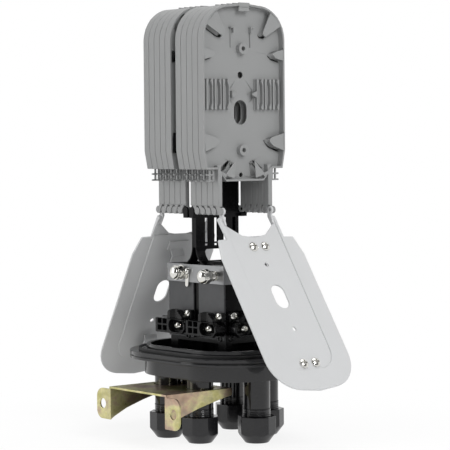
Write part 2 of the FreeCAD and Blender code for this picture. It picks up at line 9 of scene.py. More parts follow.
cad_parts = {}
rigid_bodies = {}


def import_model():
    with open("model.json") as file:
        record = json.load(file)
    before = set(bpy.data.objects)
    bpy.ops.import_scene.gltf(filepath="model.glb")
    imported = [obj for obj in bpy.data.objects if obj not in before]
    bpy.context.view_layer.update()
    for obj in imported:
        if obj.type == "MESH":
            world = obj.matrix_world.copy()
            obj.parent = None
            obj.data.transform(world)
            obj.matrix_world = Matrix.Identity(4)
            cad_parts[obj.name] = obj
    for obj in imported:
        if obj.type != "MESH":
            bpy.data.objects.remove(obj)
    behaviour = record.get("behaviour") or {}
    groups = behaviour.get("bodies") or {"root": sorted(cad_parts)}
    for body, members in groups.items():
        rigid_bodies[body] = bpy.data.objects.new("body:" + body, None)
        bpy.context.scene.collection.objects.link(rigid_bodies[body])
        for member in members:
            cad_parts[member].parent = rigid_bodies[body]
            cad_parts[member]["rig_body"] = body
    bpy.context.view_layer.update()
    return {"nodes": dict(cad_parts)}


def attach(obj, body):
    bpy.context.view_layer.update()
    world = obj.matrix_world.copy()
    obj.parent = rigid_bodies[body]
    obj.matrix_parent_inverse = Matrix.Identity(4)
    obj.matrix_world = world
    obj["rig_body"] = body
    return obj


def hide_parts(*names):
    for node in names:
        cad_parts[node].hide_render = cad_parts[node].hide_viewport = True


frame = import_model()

bl_info = {
    "name": "Opened dome splice closure",
    "version": (1, 0, 0),
    "blender": (4, 5, 0),
    "location": "View3D > Sidebar > Closure",
    "description": "Gives the packed model of an opened splice closure its finishes and fine forms",
    "category": "Object",
}

MM = 0.001
TRAYS_PER_SIDE = 5
SIDES = ("front", "rear")

# Points closer than MERGE, in metres, are one. A rounded point that lies STRAY times the rounding's width
# off the old surface is put back. Edges over ROUNDED_ANGLE are rounded, those over SHARP_ANGLE shade sharp.
MERGE = 2e-6
STRAY = 1.6
ROUNDED_ANGLE = 32.0
SHARP_ANGLE = 50.0

# Widths of the roundings that stay as they are, in metres.
BASE_EDGE = 0.4 * MM
CLIP_EDGE = 0.35 * MM
SOFT_EDGE = 0.3 * MM
STUD_EDGE = 0.25 * MM
THIN_EDGE = 0.2 * MM
NUT_SEGMENTS = 3

# Kinds of nodes that the tables name often.
MATH = "ShaderNodeMath"
VECTOR = "ShaderNodeVectorMath"
MIX = "ShaderNodeMix"
RANGE = "ShaderNodeMapRange"
XYZ = "ShaderNodeCombineXYZ"
FIELD = "GeometryNodeInputNamedAttribute"
ON_POINTS = "GeometryNodeInstanceOnPoints"

# Sizes of the finer forms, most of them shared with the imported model, in millimetres; HANG is in degrees.
STACK_START = 4.0
PITCH = 8.8
HINGE_Z = 227.0
HINGE_Y = STACK_START + 1.0 + PITCH * TRAYS_PER_SIDE
TRAY_DEPTH = 8.4
TRAY_HALF = 52.0
TRAY_TOP = 428.0
TRAY_SHOULDER = 268.0
TRAY_BOTTOM = 256.0
TRAY_CORNER_R = 34.0
RIM = 2.0
FLOOR = 1.6
TONGUE = 1.2
HOLE_PLAY = 1.5
HOLE_IN = 0.3
HOLE_OUT = 0.4
HOLE_STEP = 0.01
FACE_PLAY = 0.05
HOLDER_Z = 341.0
HOLDER_HALF = 15.0
HOLDER_NEAR = 16.4
HOLDER_FAR = 47.0
HOLDER_T = 0.9
HOLDER_TONGUE = 3.5
CHANNEL_X = 21.6
CHANNEL_PITCH = 10.35
CHANNELS = 3
HANG = {"front": 34.0, "rear": 28.5}
COVER_OFFSET = 3.0
SHEET = 2.0
PRESS = 1.2
COVER_HALF = 52.5
COVER_LENGTH = 199.0
NECK_HALF = 36.0
NECK_LONG = 30.0
COVER_SLOT = 95.5
SLOT_WIDE = 16.0
SLOT_LONG = 26.0
HOLE_AWAY = 36.0
HOLE_R = 2.2
FIELD_TOP = 27.0
FIELD_PAST = 8.0
SCREW_X = 7.5
SCREW_UP = 39.4
SCREW_DOWN = 169.5
ARM_IN = 29.5
ARM_OUTER = 31.9
EYE_R = 3.7
PIN_BORE_R = 1.65
BOX_X = 25.5
BOX_Y = 44.0
STRAP_T = 1.5
STRAP_MID = 164.0
STUDS = ((21.0, 164.5), (-35.0, 163.5))
CLAMP_LOW = 104.0
CLAMP_H = 14.5
CLAMP_TOP = CLAMP_LOW + CLAMP_H
CLAMP_W = 47.0
CLAMP_DEEP = 14.5
CLAMP_GAP = 1.2
RECESS_Z = CLAMP_LOW + CLAMP_H * 0.53
RECESS_DEEP = 6.0
RECESS_HALF = 6.4
LOOP_Y = -2.8
LOOP_Z = CLAMP_LOW - 0.8
BOSS_X = -5.6
PORTS = [(-42.0, -25.5), (0.0, -62.0), (42.0, -25.5), (42.0, 25.5), (0.0, 62.0), (-42.0, 25.5)]
THREAD_LOW = 18.6
THREAD_HIGH = 33.5
THREAD_OUTER_R = 13.58
THREAD_INNER_R = 13.28
THREAD_SKIN_R = 13.4
THREAD_TOP = 33.0
THREAD_DEPTH = 0.35
THREAD_STEPS = 96
THREAD_ROWS = 64

# Radius and height of the screw heads, in metres.
COVER_HEAD = (4.9 * MM, 3.0 * MM)
RECESS_HEAD = (4.6 * MM, 5.6 * MM)
BOSS_HEAD = (3.9 * MM, 3.0 * MM)
STRAP_HEAD = (3.3 * MM, 2.6 * MM)


def colour(text):
    """Linear RGBA from an sRGB hex value, the one place where a colour is turned to linear."""
    value = text.lstrip("#")
    channels = [int(value[i:i + 2], 16) / 255.0 for i in (0, 2, 4)]
    linear = [c / 12.92 if c <= 0.04045 else ((c + 0.055) / 1.055) ** 2.4 for c in channels]
    return (*linear, 1.0)


def output_of(known, text):
    """Output of a known node: "name" for its first one, "name.output" for another, by name or number."""
    source, _dot, output = text.partition(".")
    return known[source][int(output) if output.isdigit() else output or 0]


def add(tree, kind, settings, inputs, known):
    """Add a node with its settings, or its operation as text, and its inputs, by name or in order as a tuple.

    An input given as "@name" or "@name.output" is linked to that known node.
    """
    node = tree.nodes.new(kind)
    if isinstance(settings, str):
        settings = {"operation": settings}
    if isinstance(inputs, tuple):
        inputs = dict(enumerate(inputs))
    for name, value in settings.items():
        setattr(node, name, value)
    for name, value in inputs.items():
        if isinstance(value, str) and value.startswith("@"):
            tree.links.new(output_of(known, value[1:]), node.inputs[name])
        else:
            node.inputs[name].default_value = value
    return node


def network(tree, known, rows):
    """Add the nodes of a table, whose rows are name, kind, settings and inputs."""
    for name, kind, settings, inputs in rows:
        known[name] = add(tree, kind, settings, inputs, known).outputs
    return known


def size(name, description, default):
    """A length that a user can change, in metres."""
    return bpy.props.FloatProperty(name=name, description=description, default=default, min=0.0,
                                   precision=5, subtype="DISTANCE", unit="LENGTH")


def tint(name, description, default):
    """A base colour that a user can change."""
    return bpy.props.FloatVectorProperty(name=name, description=description, default=colour(default),
                                         size=4, min=0.0, max=1.0, subtype="COLOR")


class ClosureSizes(bpy.types.PropertyGroup):
    """Sizes of the fine forms."""

    tray_edge: size("Tray edge", "Rounding of the edges of the trays", 0.35 * MM)
    cover_edge: size("Cover edge", "Rounding of the edges of the cover sheets", 0.45 * MM)
    metal_edge: size("Metal edge", "Rounding of cut and bent metal edges", 0.35 * MM)
    block_edge: size("Moulded edge", "Rounding of the edges of the clamps and the lower box", 0.4 * MM)
    nut_edge: size("Nut edge", "Rounding of the corners of the gland nuts", 0.6 * MM)
    thread_pitch: size("Thread pitch", "Rise of the port threads in one turn", 1.8 * MM)
    floor: size("Floor", "Half the side of the floor that the closure stands on", 3.0)


class ClosureColours(bpy.types.PropertyGroup):
    """Base colours of the materials."""

    tray: tint("Trays", "Grey ABS of the splice trays", "#8a8b8b")
    holder: tint("Splice holders", "Grey ABS of the splice holders", "#8c8d8d")
    cover: tint("Covers", "Light grey ABS of the two covers", "#c3c4c5")
    gloss: tint("Base", "Black polypropylene of the base", "#19191b")
    nylon: tint("Gland nuts", "Black nylon of the gland nuts", "#17171a")
    frame_paint: tint("Frame", "Black powder coat of the frame plates", "#080809")
    clamp: tint("Clamps", "Black nylon of the cable clamps", "#0f0f10")
    panel: tint("Side panels", "Dark grey panels of the lower box", "#3b3c3e")
    steel: tint("Strap", "Stainless steel of the strap", "#8f9091")
    nickel: tint("Screws", "Nickel plate of screws and studs", "#dcdbd6")
    rubber: tint("Seals", "Black EPDM rubber", "#161617")
    backdrop: tint("Backdrop", "White floor and backdrop", "#ffffff")


def sizes():
    return bpy.context.scene.closure_sizes


def colours():
    return bpy.context.scene.closure_colours


def new_material(name):
    """Node material with its shader, and its object coordinates as the first known node."""
    made = bpy.data.materials.new(name)
    made.use_nodes = True
    tree = made.node_tree
    known = network(tree, {}, [("place", "ShaderNodeTexCoord", {}, {})])
    return made, tree, tree.nodes["Principled BSDF"], known


def shares(base, share):
    """A colour a share darker and a share lighter."""
    dark = tuple(c * (1.0 - share) for c in base[:3]) + (1.0,)
    light = tuple(min(1.0, c * (1.0 + share)) for c in base[:3]) + (1.0,)
    return dark, light


def pattern(name, cell_mm, detail, roughness, stretch=(1.0, 1.0, 1.0)):
    """Rows of a noise with cells of about the given size in millimetres, stretched along an axis if asked."""
    return [
        (name + "_map", "ShaderNodeMapping", {}, {"Vector": "@place.Object", "Scale": stretch}),
        (name, "ShaderNodeTexNoise", {}, {"Vector": "@" + name + "_map", "Scale": 1.0 / (cell_mm * MM),
         "Detail": detail, "Roughness": roughness}),
    ]


def finish(tree, shader, known, tone, wear, gloss, grain, depth_mm):
    """Last nodes of a material: its tone is mixed, the wear spreads its gloss, the grain stands out."""
    network(tree, known, [
        ("tone", MIX, {"data_type": "RGBA"}, tone),
        ("gloss", RANGE, {}, {"Value": wear, "From Min": 0.25, "From Max": 0.75, "To Min": gloss[0],
         "To Max": gloss[1]}),
        ("relief", "ShaderNodeBump", {}, {"Height": grain, "Strength": 1.0, "Distance": depth_mm * MM}),
    ])
    for socket, output in (("Base Color", "tone.2"), ("Roughness", "gloss"), ("Normal", "relief")):
        tree.links.new(output_of(known, output), shader.inputs[socket])


def moulded(base, name, gloss, grain_mm, depth_mm, drift, specular):
    """Moulded plastic: flow that drifts a little in colour, worn gloss, and the fine grain of the tool."""
    made, tree, shader, known = new_material(name)
    shader.inputs["Specular IOR Level"].default_value = specular
    dark, light = shares(base, drift)
    network(tree, known, pattern("flow", 38.0, 3.0, 0.55, (1.0, 1.0, 0.35)) + pattern("wear", 6.0, 4.0, 0.6)
            + pattern("grain", grain_mm, 2.0, 0.5))
    finish(tree, shader, known, {0: "@flow", 6: dark, 7: light}, "@wear", gloss, "@grain", depth_mm)
    return made


def metal(base, name, share, gloss, cell_mm, detail, stretch, depth_mm):
    """Metal whose tone, gloss and relief all follow one pattern."""
    made, tree, shader, known = new_material(name)
    dark, light = shares(base, share)
    shader.inputs["Metallic"].default_value = 1.0
    network(tree, known, pattern("marks", cell_mm, detail, 0.7, stretch))
    finish(tree, shader, known, {0: "@marks", 6: dark, 7: light}, "@marks", gloss, "@marks", depth_mm)
    return made


# Plastics, rubber and paint, by the name of their colour: the material's name, its range of roughness,
# the size and depth of its grain in millimetres, the drift of its colour and its specular level.
PLASTICS = {
    # Grey ABS, spark-eroded tool face: an even satin grey with a faint grain.
    "tray": ("abs_grey_satin_moulded", (0.38, 0.5), 0.9, 0.012, 0.035, 0.5),
    # The same ABS from a smoother tool: a touch lighter and glossier.
    "holder": ("abs_grey_smooth_moulded", (0.16, 0.28), 0.8, 0.008, 0.04, 0.5),
    # Light grey ABS sheet with a soft shine and slight waves from cooling.
    "cover": ("abs_light_grey_moulded", (0.3, 0.42), 1.2, 0.012, 0.03, 0.5),
    # Black polypropylene from a polished tool: deep gloss with slight orange peel.
    "gloss": ("polypropylene_black_gloss", (0.06, 0.14), 4.0, 0.010, 0.10, 0.5),
    # Black nylon with glass fibre: half gloss with a greyish bloom.
    "nylon": ("nylon_black_half_gloss", (0.14, 0.26), 1.1, 0.012, 0.14, 0.5),
    # Black nylon, moulded in a plain tool: satin, a little dusty.
    "clamp": ("nylon_black_satin", (0.2, 0.32), 0.8, 0.012, 0.14, 0.25),
    # Dark grey polycarbonate, fine matt.
    "panel": ("polycarbonate_dark_grey_matt", (0.42, 0.55), 0.8, 0.015, 0.07, 0.5),
    # EPDM rubber: dull black with a slight bloom.
    "rubber": ("epdm_black_matt", (0.55, 0.7), 0.8, 0.02, 0.12, 0.5),
    # Powder coat on steel: black, half glossy, with the fine orange peel of the cured powder.
    "frame_paint": ("powder_coat_black", (0.18, 0.3), 1.6, 0.02, 0.08, 0.15),
}

# Metals, by the name of their colour: the material's name, the spread of its tone, its range of roughness,
# the size of its marks in millimetres, their detail and stretch, and the relief's depth in millimetres.
METALS = {
    # Stainless steel band, brushed along its length: fine long lines, drawn coarser than real to show.
    "steel": ("stainless_steel_brushed", 0.2, (0.3, 0.46), 30.0, 5.0, (1.0, 1.0, 60.0), 0.02),
    # Bright nickel plate on turned steel: mirror-like, with handling haze.
    "nickel": ("steel_nickel_plated", 0.1, (0.08, 0.2), 2.5, 4.0, (1.0, 1.0, 1.0), 0.006),
}

ZINC_TONES = ((0.30, "#a98f7c"), (0.42, "#bfa58e"), (0.52, "#d3cc97"), (0.62, "#b9b377"), (0.74, "#a9b07c"))


def yellow_zinc():
    """Yellow passivated zinc on rolled steel: olive yellow, drifting to pink and green, with grey stains."""
    made, tree, shader, known = new_material("steel_zinc_yellow_passivated")
    shader.inputs["Metallic"].default_value = 1.0
    network(tree, known, pattern("drift", 30.0, 4.0, 0.55, (1.0, 1.0, 1.6)) + pattern("stains", 8.0, 6.0, 0.7)
            + pattern("grain", 1.2, 3.0, 0.6) + [
        ("tones", "ShaderNodeValToRGB", {}, {"Fac": "@drift"}),
        ("grey", RANGE, {}, {"Value": "@stains", "From Min": 0.42, "From Max": 0.72, "To Min": 0.0,
         "To Max": 0.55}),
    ])
    tone = {0: "@grey", 6: "@tones", 7: colour("#8d8a80")}
    finish(tree, shader, known, tone, "@stains", (0.24, 0.44), "@grain", 0.02)
    stops = known["tones"][0].node.color_ramp.elements
    while len(stops) < len(ZINC_TONES):
        stops.new(1.0)
    for stop, (position, text) in zip(stops, ZINC_TONES):
        stop.position = position
        stop.color = colour(text)
    return made


MATERIALS = {}


def material(look):
    """Material of a look, made once and then shared."""
    if look not in MATERIALS:
        if look in PLASTICS:
            MATERIALS[look] = moulded(getattr(colours(), look), *PLASTICS[look])
        elif look in METALS:
            MATERIALS[look] = metal(getattr(colours(), look), *METALS[look])
        else:
            MATERIALS[look] = yellow_zinc()
    return MATERIALS[look]


def merged(node):
    """Copy of a node's mesh with its doubles merged, as an object."""
    bm = bmesh.new()
    bm.from_mesh(frame["nodes"][node].data)
    bmesh.ops.remove_doubles(bm, verts=bm.verts[:], dist=MERGE)
    return to_object(node + "_copy", bm)


def linked(name, data):
    """A new object in the scene."""
    piece = bpy.data.objects.new(name, data)
    bpy.context.scene.collection.objects.link(piece)
    return piece


def to_object(name, bm):
    """A worked mesh as an object."""
    mesh = bpy.data.meshes.new(name)
    bm.to_mesh(mesh)
    bm.free()
    return linked(name, mesh)


def baked(piece):
    """Turn the modifiers' result into a plain mesh and drop the modifiers."""
    bpy.context.view_layer.update()
    graph = bpy.context.evaluated_depsgraph_get()
    mesh = bpy.data.meshes.new_from_object(piece.evaluated_get(graph))
    piece.modifiers.clear()
    piece.data = mesh
    return piece


def shaped(piece, kind, **settings):
    """Run one modifier on a piece and keep the plain mesh."""
    step = piece.modifiers.new(kind, kind)
    for name, value in settings.items():
        setattr(step, name, value)
    return baked(piece)


def joined(pieces, mirrored_ones=False):
    """One object out of several; the others are used up. If some are mirrored, all faces are set outwards."""
    bm = bmesh.new()
    for piece in pieces:
        bm.from_mesh(piece.data)
    if mirrored_ones:
        bmesh.ops.recalc_face_normals(bm, faces=bm.faces[:])
    for piece in pieces[1:]:
        bpy.data.objects.remove(piece)
    bm.to_mesh(pieces[0].data)
    bm.free()
    return pieces[0]


def combined(piece, others, operation):
    """Unite, cut or intersect a piece with others, which are used up."""
    tool = joined(others)
    shaped(piece, "BOOLEAN", operation=operation, solver="EXACT", use_self=True, object=tool)
    bpy.data.objects.remove(tool)
    return piece


def copied(piece, name, matrix):
    """A second piece like the first, elsewhere."""
    twin = linked(name, piece.data.copy())
    twin.data.transform(matrix)
    return twin


def shift(x, y, z):
    """Move by millimetres."""
    return Matrix.Translation(Vector((x, y, z)) * MM)


def on_side(side, place):
    """A front place, or for the rear one the same after half a turn about the upright axis."""
    return Matrix.Rotation(math.pi, 4, "Z") @ place if side == "rear" else place


def rounded(corners, steps=5):
    """Points of a closed outline; a corner's third number is the radius that rounds it."""
    points = []
    for i, here in enumerate(corners):
        spot = Vector(here[:2])
        if len(here) == 2:
            points.append(spot)
            continue
        before = (Vector(corners[i - 1][:2]) - spot).normalized()
        after = (Vector(corners[(i + 1) % len(corners)][:2]) - spot).normalized()
        half = before.angle(after) / 2.0
        centre = spot + (before + after).normalized() * (here[2] / math.sin(half))
        first = spot + before * (here[2] / math.tan(half)) - centre
        last = spot + after * (here[2] / math.tan(half)) - centre
        turn = math.atan2(first.x * last.y - first.y * last.x, first.dot(last))
        points += [centre + Matrix.Rotation(turn * k / steps, 2) @ first for k in range(steps + 1)]
    return points


def at(axis, p, q, level):
    """Point in metres from plane coordinates and a level along an axis, in millimetres."""
    place = {"x": (level, p, q), "y": (p, level, q), "z": (p, q, level)}[axis]
    return Vector(place) * MM


def prism(corners, axis, start, end, steps=5):
    """Solid of a closed outline, drawn across an axis between two levels, in millimetres."""
    points = rounded(corners, steps)
    bm = bmesh.new()
    ends = [[bm.verts.new(at(axis, p, q, level)) for p, q in points] for level in (start, end)]
    for ring in ends:
        bm.faces.new(ring)
    count = len(points)
    for i in range(count):
        k = (i + 1) % count
        bm.faces.new((ends[0][i], ends[0][k], ends[1][k], ends[1][i]))
    bmesh.ops.recalc_face_normals(bm, faces=bm.faces[:])
    return to_object("prism", bm)


def block(x0, x1, y0, y1, z0, z1):
    """Box between two corners, in millimetres."""
    return prism([(x0, y0), (x1, y0), (x1, y1), (x0, y1)], "z", z0, z1)


def ring_of(count, p, q, radius, turn=0.0):
    """Corners of a regular outline."""
    angles = [turn + 2.0 * math.pi * i / count for i in range(count)]
    return [(p + radius * math.cos(a), q + radius * math.sin(a)) for a in angles]


def rod(axis, p, q, start, end, radius):
    """Round bar along an axis."""
    return prism(ring_of(32, p, q, radius), axis, start, end)


def slot(axis, p, q, width, height, start, end):
    """Round-ended bar, upright in its plane; its ends are a hair less than half round."""
    a = width / 2.0
    b = height / 2.0
    r = a - 0.01
    corners = [(p - a, q - b, r), (p + a, q - b, r), (p + a, q + b, r), (p - a, q + b, r)]
    return prism(corners, axis, start, end, 9)


def mirrored(corners):
    """The same outline on the other side of X 0."""
    return [(-p, *rest) for p, *rest in corners]


def both(corners):
    """An outline and its mirror image."""
    return (corners, mirrored(corners))


def rounded_edges(piece, width, segments=2):
    """Round the sharp edges, over triangles, and keep the flat faces flat to the eye."""
    piece.data.shade_smooth()
    shaped(piece, "TRIANGULATE", ngon_method="BEAUTY")
    before = BVHTree.FromPolygons([v.co.copy() for v in piece.data.vertices],
                                  [tuple(p.vertices) for p in piece.data.polygons])
    shaped(piece, "BEVEL", width=width, segments=segments, limit_method="ANGLE",
           angle_limit=math.radians(ROUNDED_ANGLE), use_clamp_overlap=False, loop_slide=False)
    for vertex in piece.data.vertices:
        near, _normal, _face, far = before.find_nearest(vertex.co)
        if far > STRAY * width:
            vertex.co = near
    return weighted(piece)


def weighted(piece):
    """Shade smooth, with the large faces leading, and keep the sharpest edges sharp."""
    piece.data.shade_smooth()
    piece.data.set_sharp_from_angle(angle=math.radians(SHARP_ANGLE))
    return shaped(piece, "WEIGHTED_NORMAL", keep_sharp=True)


def body_of(node):
    """Name of the body that a node rides on."""
    return frame["nodes"][node]["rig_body"]


def hand_over(piece, node, look, name=None):
    """Name a finished piece, give it its material, let it ride on the node's body and stand for the node."""
    piece.name = name or node + "_form"
    piece.data.name = piece.name
    piece.data.materials.clear()
    piece.data.materials.append(material(look))
    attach(piece, body_of(node))
    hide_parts(node)


def dress(node, look, width, segments=2):
    """Round a node's edges and put its material on."""
    hand_over(rounded_edges(merged(node), width, segments), node, look)


def node_group(name, inputs):
    """Geometry node group with a geometry in and out, and named inputs with their defaults."""
    tree = bpy.data.node_groups.new(name, "GeometryNodeTree")
    for way in ("INPUT", "OUTPUT"):
        tree.interface.new_socket(name="Geometry", in_out=way, socket_type="NodeSocketGeometry")
    for label, kind, default in inputs:
        socket = tree.interface.new_socket(name=label, in_out="INPUT", socket_type="NodeSocket" + kind)
        if default is not None:
            socket.default_value = default
    tree.interface.new_socket(name="Material", in_out="INPUT", socket_type="NodeSocketMaterial")
    return tree, {"in": tree.nodes.new("NodeGroupInput").outputs}


def close_group(tree, known):
    """End a node group in real meshes with their material."""
    network(tree, known, [
        ("real", "GeometryNodeRealizeInstances", {}, ("@set",)),
        ("finish", "GeometryNodeSetMaterial", {}, {"Geometry": "@real", "Material": "@in.Material"}),
        ("out", "NodeGroupOutput", {}, ("@finish",)),
    ])
    return tree


def grown(piece, tree, look, values):
    """Run a geometry node group on a piece, with its inputs set by identifier, and keep the plain mesh."""
    step = piece.modifiers.new(tree.name, "NODES")
    step.node_group = tree
    given = dict(values, Material=material(look))
    for item in tree.interface.items_tree:
        if item.in_out == "INPUT" and item.name in given:
            step[item.identifier] = given[item.name]
    return baked(piece)


def cross_head_group():
    """Screw heads on points: domed discs cut by two crossed bars, each turned and sized as its point says."""
    tree, known = node_group("cross_heads", [
        ("Straight", "Float", 0.35), ("Dome", "Float", 0.62), ("Long", "Float", 1.15),
        ("Wide", "Float", 0.3), ("High", "Float", 1.0),
    ])
    network(tree, known, [
        ("disc", "GeometryNodeMeshCylinder", {"fill_type": "NGON"},
         {"Vertices": 36, "Side Segments": 8, "Radius": 1.0, "Depth": 1.0}),
        ("place", "GeometryNodeInputPosition", {}, {}),
        ("axes", "ShaderNodeSeparateXYZ", {}, ("@place",)),
        ("height", MATH, "ADD", ("@axes.Z", 0.5)),
        ("over", MATH, "SUBTRACT", ("@height", "@in.Straight")),
        ("above", MATH, "MAXIMUM", ("@over", 0.0)),
        ("span", MATH, "SUBTRACT", (1.0, "@in.Straight")),
        ("part", MATH, "DIVIDE", ("@above", "@span")),
        ("square", MATH, "MULTIPLY", ("@part", "@part")),
        ("drawn", MATH, "MULTIPLY", ("@square", "@in.Dome")),
        ("wide", MATH, "SUBTRACT", (1.0, "@drawn")),
        ("x", MATH, "MULTIPLY", ("@axes.X", "@wide")),
        ("y", MATH, "MULTIPLY", ("@axes.Y", "@wide")),
        ("spot", XYZ, {}, ("@x", "@y", "@height")),
        ("head", "GeometryNodeSetPosition", {}, {"Geometry": "@disc.Mesh", "Position": "@spot"}),
        ("size_a", XYZ, {}, ("@in.Long", "@in.Wide", "@in.High")),
        ("size_b", XYZ, {}, ("@in.Wide", "@in.Long", "@in.High")),
        ("bar_a", "GeometryNodeMeshCube", {}, {"Size": "@size_a"}),
        ("bar_b", "GeometryNodeMeshCube", {}, {"Size": "@size_b"}),
        ("bars", "GeometryNodeMeshBoolean", {"operation": "UNION", "solver": "EXACT"},
         {"Mesh 2": "@bar_a.Mesh"}),
    ])
    tree.links.new(known["bar_b"]["Mesh"], known["bars"][0].node.inputs["Mesh 2"])
    network(tree, known, [
        ("raised", "GeometryNodeTransform", {}, {"Geometry": "@bars.Mesh", "Translation": (0.0, 0.0, 1.0)}),
        ("carved", "GeometryNodeMeshBoolean", {"operation": "DIFFERENCE", "solver": "EXACT"},
         {"Mesh 1": "@head", "Mesh 2": "@raised"}),
        ("facing", FIELD, {"data_type": "FLOAT_VECTOR"}, {"Name": "facing"}),
        ("turn", "FunctionNodeAlignRotationToVector", {"axis": "Z"}, {"Vector": "@facing"}),
        ("scale", FIELD, {"data_type": "FLOAT_VECTOR"}, {"Name": "size"}),
        ("set", ON_POINTS, {}, {"Points": "@in.Geometry", "Instance": "@carved.Mesh",
         "Rotation": "@turn", "Scale": "@scale"}),
    ])
    return close_group(tree, known)


def points_with(name, places, **fields):
    """Loose points in metres, each with a vector for every named field."""
    mesh = bpy.data.meshes.new(name)
    mesh.from_pydata([tuple(place) for place in places], [], [])
    for label, values in fields.items():
        layer = mesh.attributes.new(label, "FLOAT_VECTOR", "POINT")
        for item, value in zip(layer.data, values):
            item.vector = value
    return linked(name, mesh)


def repeated(part, places, look):
    """Copies of a part at places in millimetres, as one object; the part is used up."""
    tree, known = node_group("repeated_part", [("Part", "Object", None)])
    network(tree, known, [
        ("part", "GeometryNodeObjectInfo", {}, {"Object": "@in.Part"}),
        ("set", ON_POINTS, {}, {"Points": "@in.Geometry", "Instance": "@part.Geometry"}),
    ])
    piece = points_with("copies", [Vector(place) * MM for place in places])
    grown(piece, close_group(tree, known), look, {"Part": part})
    bpy.data.objects.remove(part)
    return piece


def cross_heads(node, heads):
    """Domed nickel heads with a cross recess at (place, facing, radius, height), in metres."""
    places, facing, radii, heights = zip(*heads)
    piece = points_with("heads", places, facing=facing, size=list(zip(radii, radii, heights)))
    grown(piece, cross_head_group(), "nickel", {})
    hand_over(weighted(piece), node, "nickel")


def tray_outline(inset):
    """Outline of a tray, drawn in by the inset."""
    w = TRAY_HALF - inset
    low = TRAY_BOTTOM + inset
    shoulder = TRAY_SHOULDER + inset
    foot = [(0.0, low), (10.0, low + 0.9), (20.0, low + 3.5), (29.5, low + 7.6)]
    side = [(34.5, shoulder), (48.5 - 0.8 * inset, shoulder), (w, TRAY_SHOULDER + 18.0),
            (w, TRAY_TOP - inset, TRAY_CORNER_R - inset)]
    right = foot[1:] + side
    return foot[:1] + right + mirrored(right[::-1])


def tongue_outlines():
    """Tongues over the right half of a tray: at the corner, two at the side and one at the foot."""
    w = TRAY_HALF
    top = TRAY_TOP
    high = TRAY_SHOULDER + 113.0
    low = TRAY_SHOULDER + 27.7
    tip = 2.4
    return [
        [(w - 16.0, top - 3.0), (w - 19.0, top - 8.7), (w - 28.3, top - 26.7, tip),
         (w - 25.3, top - 31.0, tip), (w - 6.1, top - 20.2), (w, top - 16.7)],
        [(w, high + 5.0), (w - 11.6, high + 2.3), (w - 16.2, high, tip / 2), (w - 11.9, high - 4.0),
         (w, high - 7.0)],
        [(w, low + 7.3), (w - 16.7, low + 3.3), (w - 21.5, low, tip), (w - 15.3, low - 5.7), (w, low - 11.0)],
        [(11.9, TRAY_BOTTOM + 20.4, tip / 4), (13.9, TRAY_BOTTOM + 1.9), (25.6, TRAY_BOTTOM + 6.2)],
    ]


# Pointed tongue between the two splice holders, and the low angled rib beside the upper boss.
BETWEEN = [(15.8, HOLDER_Z + HOLDER_TONGUE), (8.5, HOLDER_Z, 0.6), (15.8, HOLDER_Z - HOLDER_TONGUE)]
GUIDE = [(0, -41.0), (1.2, -41.0), (1.2, -23.0), (4.5, -23.0), (4.5, -21.0), (0, -21.0)]


def tray_master():
    """One tray with its back face at Y 0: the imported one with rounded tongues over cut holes."""
    face = -TRAY_DEPTH
    tray = merged("tray_front_1")
    tray.data.transform(shift(0, STACK_START, 0))
    opening = prism(tray_outline(RIM + FACE_PLAY), "y", face - 1, face + TONGUE + FACE_PLAY)
    combined(tray, [opening], "DIFFERENCE")
    tongues = []
    holes = []
    holder_holes = []
    for corners in tongue_outlines():
        for shape in both(corners):
            tongues.append(prism(shape, "y", face, face + TONGUE))
            for step in (-HOLE_PLAY, HOLE_PLAY):
                lower = [(p + step, q - HOLE_PLAY, *r) for p, q, *r in shape]
                more = HOLE_STEP * len(holes)
                holes.append(prism(lower, "y", -FLOOR - HOLE_IN - more, HOLE_OUT + more))
    combined(tongues[0], tongues[1:], "UNION")
    combined(tongues[0], [prism(tray_outline(RIM / 2.0), "y", face - 1, 1)], "INTERSECT")
    combined(holes[0], holes[1:], "UNION")
    combined(holes[0], [prism(tray_outline(RIM + 0.2), "y", -4, 1)], "INTERSECT")
    added = [tongues[0], block(-7.0, 7.0, face, face + TONGUE, TRAY_TOP - 6.0, TRAY_TOP + 2.1)]
    for x in (-13.1, 11.9):
        guide = [(x + p, TRAY_TOP + q) for p, q in GUIDE]
        added.append(prism(guide, "y", -FLOOR - 1.4, -FLOOR + 0.4))
    for shape in both(BETWEEN):
        side = 1 if shape[0][0] > 0 else -1
        added.append(prism(shape, "y", face, face + TONGUE))
        added.append(block(side * 14.9, side * 15.8, face + 0.2, -FLOOR + 0.3, HOLDER_Z - HOLDER_TONGUE,
                           HOLDER_Z + HOLDER_TONGUE))
        lower = [(p - side * 1.0, q, *r) for p, q, *r in shape]
        holder_holes.append(prism(lower, "y", -FLOOR - HOLE_IN, HOLE_OUT))
    combined(tray, holes[:1] + holder_holes, "DIFFERENCE")
    combined(tray, added, "UNION")
    return rounded_edges(tray, sizes().tray_edge)


def channel_part():
    """One channel of a splice holder: two walls with pads at their ends that grip the splice sleeves."""
    half = HOLDER_HALF
    wall = [(-4.2, -half), (-2.0, -half), (-2.0, -half + 4.0), (-3.0, -half + 6.4), (-3.0, half - 6.4),
            (-2.0, half - 4.0), (-2.0, half), (-4.2, half)]
    near = -FLOOR - 4.9
    walls = [prism(shape, "y", near, -FLOOR - 0.5) for shape in both(wall)]
    for side in (-1, 1):
        for low, high in ((half - 3.2, half - 1.0), (-half + 1.0, -half + 3.2)):
            walls.append(block(side * 2.9, side * 1.3, near + 0.4, near + 1.3, low, high))
    combined(walls[0], walls[1:], "UNION")
    return rounded_edges(walls[0], THIN_EDGE)


